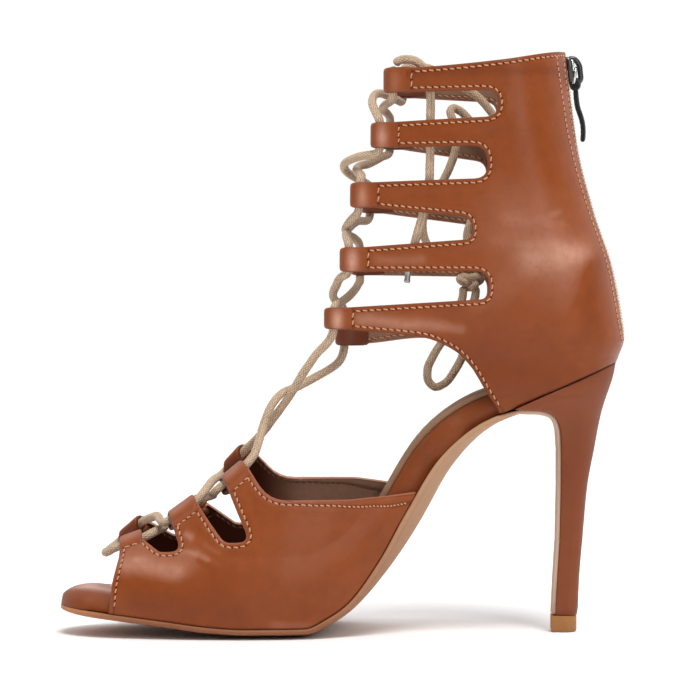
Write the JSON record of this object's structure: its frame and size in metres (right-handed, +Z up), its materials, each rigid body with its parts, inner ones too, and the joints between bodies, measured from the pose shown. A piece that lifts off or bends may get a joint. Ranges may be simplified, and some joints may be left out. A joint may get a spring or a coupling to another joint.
{
  "type": "lace-up dance sandal",
  "caption": "Open-toed lace-up dance shoe for the right foot, with a strapped ankle shaft, a zip up the back and a high thin heel.",
  "frame": {"origin": "on the floor, under the middle of the shoe's overall length and width, measured without the free lace ends", "axes": "+X towards the heel, +Y towards the foot's outer side, +Z up; the shoe stands on its forefoot and its heel tip"},
  "size_m": [0.2089, 0.0771, 0.2135],
  "materials": {
    "caramel_leather": "smooth caramel leather with a soft shine",
    "beige_sole": "matt beige sole leather",
    "tan_top_piece": "hard tan rubber",
    "tan_sock": "matt tan lining leather",
    "cream_lace": "round braided cream cotton",
    "cream_tape": "woven cream tape",
    "black_metal": "gloss black",
    "black_cord": "black cord",
    "silver": "silver"
  },
  "bodies": {
    "shoe": {"footbed": "caramel_leather", "heel": "caramel_leather", "heel_tip": "tan_top_piece", "lace_aglet": "silver", "lace_knot": "cream_lace", "lace_laced": "cream_lace", "lace_loop_lower": "cream_lace", "lace_loop_upper": "cream_lace", "lace_tail_inner": "cream_lace", "lace_tail_outer": "cream_lace", "outsole": "beige_sole", "quarters": "caramel_leather", "sock": "tan_sock", "vamp_inner": "caramel_leather", "vamp_outer": "caramel_leather", "zip_slider": "black_metal", "zip_tape": "cream_tape"},
    "zip_pull": {"zip_pull": "black_metal", "zip_pull_cord": "black_cord"}
  },
  "joints": [
    {"name": "zip_pull_swing", "type": "hinge", "parent": "shoe", "child": "zip_pull", "pos_m": [0.08667, -0.00132, 0.2075], "axis": [0, -1, 0], "range_deg": [0, 150]}
  ]
}
